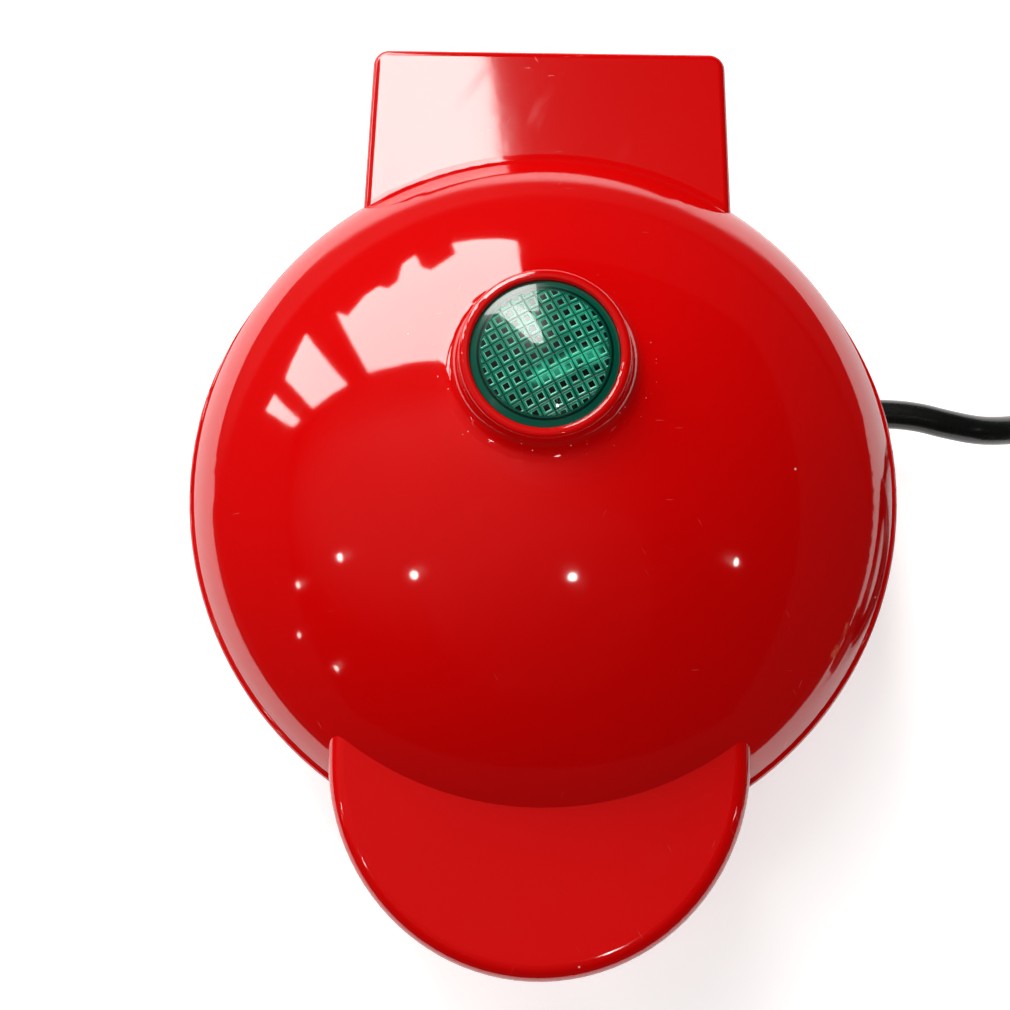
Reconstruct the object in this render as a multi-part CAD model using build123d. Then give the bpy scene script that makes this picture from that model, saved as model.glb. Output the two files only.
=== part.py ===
from build123d import *
import math
import os

# Bubble waffle maker: a round countertop cooker with a hinged domed lid.
# Millimetres, +Z up, the feet stand on z = 0, the front handle points to -Y,
# the hinge lies at +Y and the mains cord leaves towards +X.
# The pieces are drawn about the axis of the round body, and export() moves
# them together so that the origin is the middle of the part's footprint.

# Heights of the closed body
foot_height = 5.0
base_depth = 30.8
lid_gap = 0.5
base_floor_z = foot_height
rim_z = base_floor_z + base_depth
lip_z = rim_z + lid_gap

# Mouldings
wall = 2.2
lip_radius = 62.8
dome_rise = 28.5
shoulder_inset = 4.8
shoulder_height = 6.2
crown_flat = 0.02
rim_overhang = 1.2
rim_band_height = 6.6
rim_band_draft = 1.9
rim_edge_radius = 1.3
rim_relief = 0.6
rim_relief_shift = 2.9
floor_flat_radius = 46.0
belly_drop = 6.8
rim_bore_gap = 0.6
ledge_width = 2.2
ledge_thickness = 2.2

# Front handle tabs, one on each moulding
handle_half_width = 36.6
handle_length = 22.8
handle_ellipse_length = 37.6
lid_handle_height = 7.7
base_handle_height = 7.0
handle_edge_radius = 3.0

# Hinge hood on the lid, with its pins and the arms of the base
hood_rear_depth = 10.2
hood_half_width_rear = 32.7
hood_half_width_front = 34.0
hood_overlap = 14.8
hood_height = 1.7
hood_skirt_z = 24.0
hood_corner_radius = 3.0
hood_corner_share = 0.6
hood_edge_radius = 1.4
hood_foot_radius = 1.2
hood_foot_sink = 0.5
hinge_offset = 9.0
hinge_z = 28.0
knuckle_radius = 7.3
knuckle_inner_x = 18.0
knuckle_end_gap = 0.4
arm_height = 10.9
pin_radius = 2.0
pin_length = 13.0
pin_fit = 0.06
swing_clearance = 0.7

# Indicator lens in its raised collar
lens_y = 17.8
collar_top_z = 68.0
collar_radius = 14.5
collar_foot_radius = 3.6
collar_edge_radius = 1.0
collar_bore_edge = 0.5
lens_radius = 12.5
lens_fit = 0.12
lens_wall = 1.6
lens_rise = 2.4
lens_recess = 0.8
lens_seat_z = 63.2
lens_seat_width = 1.3
lamp_fit = 0.15
lamp_radius = 1.95
lamp_back_x = 5.5
lamp_front_x = 4.0
lamp_lift = 0.3
holder_thickness = 1.6
holder_drop = 1.6
saddle_x = 4.5
saddle_thickness = 1.6
saddle_width = 5.2
saddle_height = 1.2

# Cooking plates with round bubbles
flange_setback = 4.6
flange_width = 8.2
flange_thickness = 2.1
plate_draft = 1.6
plate_back_chamfer = 6.0
cook_wall = 4.0
cook_depth = 2.6
bubble_radius = 7.2
bubble_pitch = 17.4
bubble_floor = 1.3
moat_inset = 1.7
moat_half_width = 1.1
moat_depth = 1.2

# Fasteners of the plates, reflectors and bottom cover
plate_screw_inset = 4.0
plate_screw_angles = (60, 180, 300)
screw_radius = 1.45
screw_fit = 0.05
screw_head_radius = 2.7
screw_head_height = 1.6
screw_slot_half_width = 0.3
screw_slot_depth = 0.6
screw_cross_radius = 1.7
pan_head_step = 1.2
plate_screw_grip = 4.0
screw_end_gap = 0.5
post_radius = 3.6
reflector_screw_ring = 19.0
reflector_screw_angles = (30, 150, 270)

# Heating elements and reflectors
element_ring_radius = 29.0
element_tube_radius = 3.2
element_gap_angle = 60
element_leg = 3.8
terminal_radius = 1.2
terminal_length = 1.8
sheet_thickness = 0.6
reflector_radius = 33.4
reflector_leg_gap = 0.3
reflector_hole_gap = 0.2
reflector_screw_grip = 6.0
reflector_notch_half_width = 9.0
reflector_notch_y = 26.0
seat_gap = 0.25

# Controls inside the base
thermostat_cap_radius = 8.0
thermostat_body_radius = 7.4
thermostat_cap_height = 5.0
thermostat_body_height = 6.0
thermostat_cap_gap = 0.4
blade_x = 4.0
blade_thickness = 0.8
blade_width = 6.0
blade_length = 3.5
fuse_x = -4.0
fuse_y = -13.5
fuse_radius = 2.0
fuse_length = 11.0
fuse_lead_radius = 0.5
fuse_lead_length = 4.0

# Bottom cover
cover_radius = 38.0
cover_thickness = 1.8
cover_fit = 0.3
cover_opening_radius = 31.0
cover_ledge_thickness = 2.2
cover_screw_ring = 34.6
cover_screw_angles = (45, 135, 225, 315)
cover_boss_height = 7.0
cover_seat_width = 3.0
vent_count = 5
vent_length = 26.0
vent_width = 2.4
vent_pitch = 6.0
vent_x = -2.0
vent_y = -12.0

# Feet
foot_inset = 8.8
foot_angles = (60, 120, 240, 300)
foot_radius = 6.0
foot_pad_radius = 7.2
foot_taper = 0.8
foot_stem_radius = 2.5
foot_stem_length = 4.5
foot_fit = 0.1

# Mains cord, its strain relief and its way into the base
cord_radius = 2.8
cord_exit_y = 20.1
cord_exit_z = 14.0
cord_exit_x = 64.0
bush_inner_x = 44.0
bush_radius = 4.1
bush_tip_radius = 3.1
bush_taper_length = 9.0
bush_flange_radius = 5.2
bush_flange_thickness = 2.0
bush_fit = 0.1
cord_fit = 0.05
cord_table_gap = 0.1
clamp_x = 40.5
clamp_width = 5.0
clamp_span = 5.4
clamp_thickness = 2.4
clamp_bite = 0.6
clamp_screw_length = 5.0
clamp_screw_radius = 1.05
clamp_post_radius = 2.3
saddle_half_width = 2.5
jacket_end_x = 35.5
core_start = 2.5
core_lead = 4.5

# Put-away coil of the cord, beside the body
coil_x = 137.0
coil_entry_y = 19.4
coil_outer_radius = 35.5
coil_turns = 4.25
coil_gap = 0.5
coil_quarters = 18
coil_seam_run = 5.6

# Mains plug lying on its back beside the coil
plug_width = 36.0
plug_length = 38.0
plug_relief_length = 22.0
plug_relief_radius = 4.6
plug_tip_wall = 0.3
plug_corner_radius = 12.0
plug_edge_radius = 2.0
pin_depth = 4.0
live_pin_angle = 60
pin_thickness = 1.63
pin_width = 6.35
live_pin_height = 17.1
earth_pin_height = 19.9
live_pin_offset = 7.92
earth_pin_offset = 10.31

# Terminal block on the bottom cover
terminal_x = 18.0
terminal_y = 9.0
terminal_pitch = 4.2
terminal_block_length = 16.0
terminal_block_width = 13.0
terminal_block_height = 7.5
terminal_bore_radius = 1.5
terminal_bore_depth = 2.5
terminal_screw_length = 1.6
core_height = 3.4
core_grip = 2.0
core_fit = 0.1
core_spread = 1.85

# Wiring
bundle_radius = 1.0
bundle_gap = 0.5
core_radius = 0.9
sleeve_half_length = 9.0
sleeve_radius = 2.2
wire_x = 15.0
wire_hole_radius = 2.4
wire_notch_half_width = 3.5
wire_notch_depth = 4.8
wire_notch_reach = 6.7

# Places worked out from the sizes above
rim_radius = lip_radius + rim_overhang
hinge_y = rim_radius + hinge_offset
hood_reach = hinge_y + hood_rear_depth
hood_front_y = lip_radius - hood_overlap
handle_reach = lip_radius + handle_length
axis_shift = (handle_reach - hood_reach) / 2
flange_radius = lip_radius - flange_setback
plate_radius = flange_radius - flange_width
cook_radius = plate_radius - cook_wall
moat_radius = plate_radius - moat_inset
plate_screw_ring = flange_radius - plate_screw_inset
foot_ring = lip_radius - foot_inset
rim_bore_radius = flange_radius + rim_bore_gap
ledge_bore_radius = rim_bore_radius - ledge_width
shoulder_radius = lip_radius - shoulder_inset
crown_sag = dome_rise - shoulder_height
crown_radius = (shoulder_radius**2 + crown_sag**2) / (2 * crown_sag)
crown_centre_z = lip_z + dome_rise - crown_radius
shoulder_sine = shoulder_radius / crown_radius
shoulder_cosine = math.sqrt(1 - shoulder_sine**2)
shoulder_lean = shoulder_height * shoulder_cosine - shoulder_inset * shoulder_sine
edge_radius = (shoulder_inset**2 + shoulder_height**2) / (2 * shoulder_lean)
edge_centre_r = shoulder_radius - edge_radius * shoulder_sine
edge_centre_z = lip_z + shoulder_height - edge_radius * shoulder_cosine
belly_z = rim_z - belly_drop
lamp_bore_radius = lens_radius - lens_seat_width
handle_ellipse_y = -(handle_reach - handle_ellipse_length)
plate_height = cook_depth + bubble_radius + bubble_floor
lower_plate_bottom_z = rim_z - plate_height
upper_plate_top_z = lip_z + plate_height
element_drop = seat_gap + element_tube_radius
reflector_drop = 2 * element_drop
cord_floor_z = cord_radius + cord_table_gap
coil_pitch = 2 * cord_radius + coil_gap
pin_inner_x = hood_half_width_rear - pin_length
clamp_z = cord_exit_z + cord_radius - clamp_bite
lamp_axis_z = lens_seat_z - holder_drop + lamp_radius + lamp_lift
holder_radius = lamp_bore_radius - lamp_fit
flange_notch_y = flange_radius - wire_notch_reach


def polar(radius, angle, z=0.0):
    """Place at a radius and an angle in degrees from +X about the body's axis."""
    turn = math.radians(angle)
    return Pos(radius * math.cos(turn), radius * math.sin(turn), z)


def upright(radius, z_low, z_high):
    """Cylinder about the Z axis between two heights."""
    return Pos(0, 0, (z_low + z_high) / 2) * Cylinder(radius, z_high - z_low)


def ring(outer, inner, z_low, z_high):
    """Flat ring about the Z axis between two heights."""
    return upright(outer, z_low, z_high) - upright(inner, z_low - 1, z_high + 1)


def block(x_low, x_high, y_low, y_high, z_low, z_high):
    """Box between two corners."""
    centre = Pos((x_low + x_high) / 2, (y_low + y_high) / 2, (z_low + z_high) / 2)
    return centre * Box(x_high - x_low, y_high - y_low, z_high - z_low)


def cross_rod(radius, x_low, x_high, y, z):
    """Cylinder along X between two ends."""
    return Pos((x_low + x_high) / 2, y, z) * Rot(0, 90, 0) * Cylinder(radius, x_high - x_low)


def largest(shape):
    """The biggest solid of a cut or a fuse."""
    return max(shape.solids(), key=lambda solid: solid.volume)


def tube(path, radius):
    """Round tube along a path that is already smooth."""
    return sweep(Plane(origin=path @ 0, z_dir=path % 0) * Circle(radius), path)


def bend_radii(points):
    """The largest radius for each corner of a route, as its runs allow."""
    spots = [Vector(*point) for point in points]
    radii = []
    for before, corner, after in zip(spots, spots[1:], spots[2:]):
        incoming = corner - before
        outgoing = after - corner
        half_turn = math.radians(incoming.get_angle(outgoing)) / 2
        radii.append(0.45 * min(incoming.length, outgoing.length) / math.tan(half_turn))
    return radii


def routed_tube(points, radius):
    """Round tube along straight runs joined by tangent arcs."""
    return tube(FilletPolyline(*points, radius=bend_radii(points)), radius)


def dome_body(inset=0.0):
    """The round lid, a tight arc at its edge that runs into a wide crown, drawn in by an inset."""
    shoulder = 90 - math.degrees(math.asin(shoulder_sine))
    start = math.degrees(math.asin((lip_z - edge_centre_z) / (edge_radius - inset)))
    edge = CenterArc((edge_centre_r, edge_centre_z), edge_radius - inset, start, shoulder - start)
    crown = CenterArc((0, crown_centre_z), crown_radius - inset, shoulder, 90 - shoulder)
    foot = (0, lip_z)
    outline = Curve() + [edge, crown, Line(crown @ 1, foot), Line(foot, edge @ 0)]
    return revolve(Plane.XZ * make_face(outline), Axis.Z)


def bowl_body(inset=0.0):
    """The round base from its floor to its rim, drawn in by an inset."""
    corner_r = lip_radius - floor_flat_radius - inset
    corner_z = belly_z - base_floor_z - inset
    arc = Plane.XZ * EllipticalCenterArc((floor_flat_radius, belly_z), corner_r, corner_z, 270, arc_size=90)
    floor_middle = (0, 0, base_floor_z + inset)
    rim_middle = (0, 0, rim_z)
    rim_edge = (lip_radius - inset, 0, rim_z)
    outline = Curve() + [
        Line(floor_middle, arc @ 0),
        arc,
        Line(arc @ 1, rim_edge),
        Line(rim_edge, rim_middle),
        Line(rim_middle, floor_middle),
    ]
    return revolve(make_face(outline), Axis.Z)


def handle_outline(inset=0.0):
    """Plan of a handle tab: straight sides that run into half an ellipse."""
    half = handle_half_width - inset
    arc = EllipticalCenterArc((0, handle_ellipse_y), half, handle_ellipse_length - inset, 180, arc_size=180)
    left_root = (-half, 0)
    right_root = (half, 0)
    sides = [Line(arc @ 1, right_root), Line(right_root, left_root), Line(left_root, arc @ 0)]
    return make_face(Curve() + [arc, *sides])


def hood_outline(inset=0.0):
    """Plan of the hinge hood, a little narrower at the rear."""
    rear = hood_reach - inset
    corners = [
        (-hood_half_width_front + inset, hood_front_y),
        (hood_half_width_front - inset, hood_front_y),
        (hood_half_width_rear - inset, rear),
        (-hood_half_width_rear + inset, rear),
    ]
    face = make_face(Polyline(*corners, close=True))
    rear_corners = face.vertices().sort_by(Axis.Y)[-2:]
    return fillet(rear_corners, hood_corner_radius - hood_corner_share * inset)


def dome_radius(z, inset=0.0):
    """Radius of the lid's dome at a height, drawn in by an inset."""
    if z > lip_z + shoulder_height - inset * shoulder_cosine:
        return math.sqrt((crown_radius - inset) ** 2 - (z - crown_centre_z) ** 2)
    return edge_centre_r + math.sqrt((edge_radius - inset) ** 2 - (z - edge_centre_z) ** 2)


def under_dome(x, y, gap):
    """Point that lies a gap under the crown's inner face."""
    reach = crown_radius - wall - gap
    return (x, y, crown_centre_z + math.sqrt(reach**2 - x**2 - y**2))


def dome_hollow():
    """The space under the dome, with a hair of flat where its surface would meet its own pole."""
    return dome_body(wall) & upright(lip_radius, 0, lip_z + dome_rise - wall - crown_flat)


def hood_foot():
    """Concave fillet between the dome and the top of the hinge hood."""
    low = lip_z + hood_height
    high = low + hood_foot_radius
    edge = (dome_radius(low) + hood_foot_radius, low)
    top = (dome_radius(high), high)
    sweep_in = TangentArc(edge, top, tangent=(-1, 0))
    inner = dome_radius(high) - wall / 2
    sunk = low - hood_foot_sink
    sides = Polyline(top, (inner, high), (inner, sunk), (edge[0], sunk), edge)
    fillet_ring = revolve(Plane.XZ * make_face(Curve() + [sweep_in, sides]), Axis.Z)
    return fillet_ring & extrude(hood_outline(hood_edge_radius), 2 * lip_z)


def lid_outside():
    """The lid's solid shape before it is hollowed."""
    hood_top_z = lip_z + hood_height
    hood = Pos(0, 0, hood_skirt_z) * extrude(hood_outline(), hood_top_z - hood_skirt_z)
    hood_top = hood.faces().sort_by(Axis.Z)[-1]
    hood = fillet(hood_top.edges().filter_by(lambda e: e.center().Y > hood_front_y + 1), hood_edge_radius)
    hood -= upright(rim_radius + swing_clearance, hood_skirt_z - 1, lip_z)
    tab = Pos(0, 0, lip_z) * extrude(handle_outline(), lid_handle_height)
    tab_top = tab.faces().sort_by(Axis.Z)[-1]
    tab = fillet(tab_top.edges().filter_by(lambda e: e.center().Y < -1), handle_edge_radius)
    collar = upright(collar_radius, lip_z + dome_rise / 2, collar_top_z)
    collar -= upright(lens_radius + lens_fit, lens_seat_z, collar_top_z + 1)
    mouth, brim = collar.faces().sort_by(Axis.Z)[-1].edges().sort_by(SortBy.LENGTH)
    collar = fillet(mouth, collar_bore_edge)
    brim = collar.faces().sort_by(Axis.Z)[-1].edges().sort_by(SortBy.LENGTH)[-1]
    collar = fillet(brim, collar_edge_radius)
    crown = dome_body() + Pos(0, lens_y, 0) * collar
    collar_feet = [
        edge
        for edge in crown.edges()
        if 1.9 * collar_radius < edge.bounding_box().size.X < 2.1 * collar_radius
        and edge.bounding_box().size.Z > collar_edge_radius
    ]
    crown = fillet(collar_feet, collar_foot_radius)
    return crown + hood + tab + hood_foot()


def upper_housing():
    """Lid moulding: dome, lens collar, handle tab and hinge hood in one."""
    shell = lid_outside()
    shell -= dome_hollow()
    hood_inner_z = lip_z + hood_height - wall
    hood_hollow = Pos(0, 0, hood_skirt_z - 1) * extrude(hood_outline(wall), hood_inner_z - hood_skirt_z + 1)
    shell -= hood_hollow - upright(lip_radius + wall / 3, hood_skirt_z - 2, collar_top_z)
    tab_hollow = Pos(0, 0, lip_z) * extrude(handle_outline(wall), lid_handle_height - wall)
    rear_half = block(-lip_radius, lip_radius, -lip_radius / 2, lip_radius, 0, lip_z * 2)
    shell -= tab_hollow - dome_body() - rear_half
    flange_top = lip_z + flange_thickness
    for angle in plate_screw_angles:
        post = polar(plate_screw_ring, angle) * upright(post_radius, flange_top, lip_z + dome_rise)
        shell += post & dome_body(wall / 2)
    screw_end = flange_top + plate_screw_grip + screw_end_gap
    for angle in plate_screw_angles:
        shell -= polar(plate_screw_ring, angle) * upright(screw_radius + screw_fit, lip_z, screw_end)
    shell -= Pos(0, lens_y, 0) * upright(lens_radius + lens_fit, lens_seat_z, collar_top_z + 1)
    shell -= Pos(0, lens_y, 0) * upright(lamp_bore_radius, lip_z + dome_rise / 2, lens_seat_z + 1)
    shell -= cross_rod(pin_radius + pin_fit, -hood_half_width_front, hood_half_width_front, hinge_y, hinge_z)
    return largest(shell)


def knuckle(side):
    """One hinge arm of the base, on the side given by a sign."""
    inner = side * knuckle_inner_x
    outer = side * (hood_half_width_rear - wall - knuckle_end_gap)
    low_x = min(inner, outer)
    high_x = max(inner, outer)
    top = rim_z - lid_gap
    arm = block(low_x, high_x, floor_flat_radius, hinge_y, top - arm_height, top)
    return arm + cross_rod(knuckle_radius, low_x, high_x, hinge_y, hinge_z)


def rim_band():
    """Raised band round the base's rim, drawn in towards the hinge."""
    low = rim_z - rim_band_height
    inner = rim_bore_radius + wall
    edge = CenterArc((rim_radius - rim_edge_radius, rim_z - rim_edge_radius), rim_edge_radius, 0, 90)
    corners = [
        edge @ 1,
        (inner, rim_z),
        (inner, low - wall / 4),
        (lip_radius, low),
        (rim_radius, low + rim_band_draft),
        edge @ 0,
    ]
    band = revolve(Plane.XZ * make_face(Curve() + [edge, Polyline(*corners)]), Axis.Z)
    relief = Pos(0, -rim_relief_shift, 0) * upright(rim_radius + rim_relief, low - wall, rim_z + 1)
    return band & relief


def lower_housing():
    """Base moulding: bowl, rim, front tab, hinge arms and foot pads in one."""
    outside = bowl_body() + rim_band()
    tab = Pos(0, 0, rim_z - base_handle_height) * extrude(handle_outline(), base_handle_height)
    tab_bottom = tab.faces().sort_by(Axis.Z)[0]
    outside += fillet(tab_bottom.edges().filter_by(lambda e: e.center().Y < -1), handle_edge_radius)
    for angle in foot_angles:
        outside += polar(foot_ring, angle) * upright(foot_pad_radius, base_floor_z, belly_z)
    hollow = bowl_body(wall)
    shell = outside - hollow
    for side in (-1, 1):
        shell += knuckle(side) - hollow
    tab_floor_z = rim_z - base_handle_height + wall
    tab_hollow = Pos(0, 0, tab_floor_z) * extrude(handle_outline(wall), base_handle_height)
    rear_half = block(-rim_radius, rim_radius, -rim_radius / 2, rim_radius, 0, lip_z * 2)
    shell -= tab_hollow - upright(rim_radius, 0, rim_z + 1) - rear_half
    ledge_z = rim_z - flange_thickness
    shell += ring(lip_radius - wall / 2, rim_bore_radius, ledge_z - ledge_thickness, rim_z)
    shell += ring(lip_radius - wall / 2, ledge_bore_radius, ledge_z - ledge_thickness, ledge_z)
    for angle in plate_screw_angles:
        post = polar(plate_screw_ring, angle) * upright(post_radius, base_floor_z, ledge_z)
        shell += post & bowl_body(wall / 2)
    ledge_ring_z = base_floor_z + cover_thickness + cover_ledge_thickness
    shell += upright(cover_radius + cover_seat_width, base_floor_z, ledge_ring_z)
    shell -= upright(cover_opening_radius, 0, ledge_ring_z + 1)
    for angle in cover_screw_angles:
        boss_top = base_floor_z + cover_thickness + cover_boss_height
        shell += polar(cover_screw_ring, angle) * upright(post_radius, base_floor_z, boss_top)
    shell -= upright(cover_radius + cover_fit, 0, base_floor_z + cover_thickness)
    shell += cord_saddle()
    return largest(shell - base_holes())


def cord_saddle():
    """Seat and two posts of the cord clamp, on the floor of the base."""
    floor_z = base_floor_z + wall / 2
    x_low = clamp_x - clamp_width / 2
    x_high = clamp_x + clamp_width / 2
    y_low = cord_exit_y - saddle_half_width
    y_high = cord_exit_y + saddle_half_width
    seat = block(x_low, x_high, y_low, y_high, floor_z, cord_exit_z - cord_radius)
    for side in (-1, 1):
        y = cord_exit_y + side * clamp_span
        seat += Pos(clamp_x, y, 0) * upright(clamp_post_radius, floor_z, clamp_z)
    return seat


def base_holes():
    """Everything that is bored or cut out of the base moulding."""
    cuts = cross_rod(pin_radius, pin_inner_x, hood_half_width_rear, hinge_y, hinge_z)
    cuts += cross_rod(pin_radius, -hood_half_width_rear, -pin_inner_x, hinge_y, hinge_z)
    hole_radius = screw_radius + screw_fit
    screw_end = rim_z - flange_thickness - plate_screw_grip - screw_end_gap
    for angle in plate_screw_angles:
        cuts += polar(plate_screw_ring, angle) * upright(hole_radius, screw_end, rim_z)
    for angle in cover_screw_angles:
        cuts += polar(cover_screw_ring, angle) * upright(hole_radius, 0, base_floor_z + cover_boss_height)
    stem_end = foot_height + foot_stem_length + foot_fit
    for angle in foot_angles:
        cuts += polar(foot_ring, angle) * upright(foot_stem_radius + foot_fit, 0, stem_end)
    for side in (-1, 1):
        clamp_screw_end = clamp_z + clamp_thickness - clamp_screw_length - screw_end_gap
        screw_hole = upright(clamp_screw_radius + screw_fit, clamp_screw_end, lip_z)
        cuts += Pos(clamp_x, cord_exit_y + side * clamp_span, 0) * screw_hole
    cuts += cross_rod(bush_radius + bush_fit, bush_inner_x, lip_radius, cord_exit_y, cord_exit_z)
    wire_hole = Rot(90, 0, 0) * Cylinder(wire_hole_radius, hinge_y - flange_notch_y)
    cuts += Pos(wire_x, (flange_notch_y + hinge_y) / 2, hinge_z) * wire_hole
    notch_x = (-wire_x - wire_notch_half_width, -wire_x + wire_notch_half_width)
    cuts += block(*notch_x, flange_notch_y, hinge_y, rim_z - wire_notch_depth, rim_z + 1)
    return cuts


def bubble_places():
    """Centres of the bubbles: rows a pitch apart, as far as the cooking face holds whole ones."""
    places = []
    count = 2 * int(cook_radius / bubble_pitch)
    for row in range(-count, count + 1):
        for column in range(-count, count + 1):
            x = bubble_pitch * (column + row / 2)
            y = bubble_pitch * row * math.sqrt(3) / 2
            if math.hypot(x, y) + bubble_radius < cook_radius:
                places.append((x, y))
    return places


def plate():
    """A cooking plate, face up with its rim face at z = 0."""
    casting = upright(flange_radius, -flange_thickness, 0)
    body = Pos(0, 0, -plate_height / 2) * Cone(plate_radius - plate_draft, plate_radius, plate_height)
    casting += chamfer(body.faces().sort_by(Axis.Z)[0].edges(), plate_back_chamfer)
    boss_end = -plate_height - reflector_drop
    for angle in reflector_screw_angles:
        spot = polar(reflector_screw_ring, angle)
        casting += spot * upright(post_radius, boss_end, -plate_height + 1)
        casting -= spot * upright(screw_radius + screw_fit, boss_end - 1, -plate_height - seat_gap)
    casting -= upright(cook_radius, -cook_depth, 1)
    casting -= ring(moat_radius + moat_half_width, moat_radius - moat_half_width, -moat_depth, 1)
    for x, y in bubble_places():
        casting -= Pos(x, y, -cook_depth) * Sphere(bubble_radius)
    for angle in plate_screw_angles:
        casting -= polar(plate_screw_ring, angle) * screw_cutter()
    for side in (-1, 1):
        notch_x = (side * wire_x - wire_notch_half_width, side * wire_x + wire_notch_half_width)
        casting -= block(*notch_x, flange_notch_y, flange_radius + 1, -flange_thickness - 1, 1)
    return largest(casting)


def screw_cutter():
    """Countersunk hole of a plate screw, its head at z = 0."""
    hole = upright(screw_radius + screw_fit, -flange_thickness - 1, 1)
    head = Cone(screw_radius + screw_fit, screw_head_radius + screw_fit, screw_head_height)
    return hole + Pos(0, 0, -screw_head_height / 2) * head


def countersunk_screw(length):
    """Screw with a flat cone head, its head's face at z = 0 and pointing down."""
    head = Pos(0, 0, -screw_head_height / 2) * Cone(screw_radius, screw_head_radius, screw_head_height)
    shank = upright(screw_radius, -length, -screw_head_height / 2)
    half = screw_slot_half_width
    reach = screw_cross_radius
    cross = block(-reach, reach, -half, half, -screw_slot_depth, 1)
    cross += block(-half, half, -reach, reach, -screw_slot_depth, 1)
    return head + shank - cross


def pan_screw(length, radius=screw_radius):
    """Screw with a round head that stands on z = 0 and a shank below it."""
    head_radius = radius + pan_head_step
    half = screw_slot_half_width
    top = screw_head_height
    head = upright(head_radius, 0, top)
    shank = upright(radius, -length, top / 2)
    slot = block(-head_radius, head_radius, -half, half, top - screw_slot_depth, top)
    return head + shank - slot


def heating_element():
    """Tubular element lying under a plate whose back is at z = 0, legs down."""
    z = -element_drop
    half_gap = element_gap_angle / 2
    path = CenterArc((0, 0, z), element_ring_radius, 90 + half_gap, 360 - element_gap_angle)
    element = tube(path, element_tube_radius)
    for angle in (90 + half_gap, 90 - half_gap):
        spot = polar(element_ring_radius, angle)
        element += polar(element_ring_radius, angle, z) * Sphere(element_tube_radius)
        element += spot * upright(element_tube_radius, z - element_leg, z)
        element += spot * upright(terminal_radius, z - element_leg - terminal_length, z)
    return largest(element)


def reflector():
    """Sheet dish that holds an element to a plate whose back is at z = 0."""
    low = -reflector_drop - sheet_thickness
    dish = upright(reflector_radius, low, -seat_gap)
    dish -= upright(reflector_radius - sheet_thickness, -reflector_drop, 1)
    half_gap = element_gap_angle / 2
    for angle in (90 + half_gap, 90 - half_gap):
        leg_hole = upright(element_tube_radius + reflector_leg_gap, low - 1, 1)
        dish -= polar(element_ring_radius, angle) * leg_hole
    for angle in reflector_screw_angles:
        dish -= polar(reflector_screw_ring, angle) * upright(screw_radius + reflector_hole_gap, low - 1, 1)
    half_notch = reflector_notch_half_width
    return dish - block(-half_notch, half_notch, reflector_notch_y, reflector_radius + 1, low - 1, 1)


def reflector_screws():
    """Three screws that hold a reflector to the bosses of its plate."""
    low = -reflector_drop - sheet_thickness
    return [
        polar(reflector_screw_ring, angle, low) * Rot(180, 0, 0) * pan_screw(reflector_screw_grip)
        for angle in reflector_screw_angles
    ]


def plate_screws():
    """Three countersunk screws through a plate's flange, face at z = 0."""
    return [
        polar(plate_screw_ring, angle) * countersunk_screw(flange_thickness + plate_screw_grip)
        for angle in plate_screw_angles
    ]


def base_cover():
    """Round bottom cover with vent slots and countersunk screw holes."""
    top = base_floor_z + cover_thickness
    cover = upright(cover_radius, base_floor_z, top)
    for index in range(vent_count):
        x = (index - (vent_count - 1) / 2) * vent_pitch + vent_x
        slot = extrude(SlotOverall(vent_length, vent_width, rotation=90), 2 * cover_thickness, both=True)
        cover -= Pos(x, vent_y, base_floor_z) * slot
    for angle in cover_screw_angles:
        cutter = Rot(180, 0, 0) * screw_cutter()
        cover -= polar(cover_screw_ring, angle, base_floor_z) * cutter
    return cover


def cover_screws():
    """Four countersunk screws of the bottom cover."""
    screw = Rot(180, 0, 0) * countersunk_screw(cover_boss_height - 1)
    return [polar(cover_screw_ring, angle, base_floor_z) * screw for angle in cover_screw_angles]


def rubber_feet():
    """Four rubber feet with stems pressed into the base."""
    foot = Pos(0, 0, foot_height / 2) * Cone(foot_radius - foot_taper, foot_radius, foot_height)
    foot += upright(foot_stem_radius, foot_height / 2, foot_height + foot_stem_length)
    return [polar(foot_ring, angle) * foot for angle in foot_angles]


def indicator_lens():
    """Clear domed cap with a skirt that stands on the seat in the collar."""
    edge_z = collar_top_z - lens_recess
    cap_radius = (lens_radius**2 + lens_rise**2) / (2 * lens_rise)
    middle_z = edge_z + lens_rise - cap_radius
    cap = upright(lens_radius, lens_seat_z, edge_z + lens_rise) & Pos(0, 0, middle_z) * Sphere(cap_radius)
    hollow = upright(lens_radius - lens_wall, lens_seat_z - 1, edge_z + lens_rise)
    hollow &= Pos(0, 0, middle_z) * Sphere(cap_radius - lens_wall)
    return Pos(0, lens_y, 0) * (cap - hollow)


def lamp_holder():
    """Disc that closes the collar from inside, with two saddles for the lamp."""
    top = lens_seat_z - holder_drop
    disc = upright(holder_radius, top - holder_thickness, top)
    half = saddle_width / 2
    for side in (-1, 1):
        low_x = side * saddle_x - saddle_thickness / 2
        high_x = low_x + saddle_thickness
        disc += block(low_x, high_x, -half, half, top - holder_thickness / 2, top + saddle_height)
    disc -= cross_rod(lamp_radius + core_fit, -holder_radius, holder_radius, 0, lamp_axis_z)
    return Pos(0, lens_y, 0) * disc


def indicator_lamp():
    """Small glow lamp that lies in the saddles of its holder."""
    glass = cross_rod(lamp_radius, -lamp_back_x, lamp_front_x, 0, lamp_axis_z)
    glass += Pos(lamp_front_x, 0, lamp_axis_z) * Sphere(lamp_radius)
    return Pos(0, lens_y, 0) * glass


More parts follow.
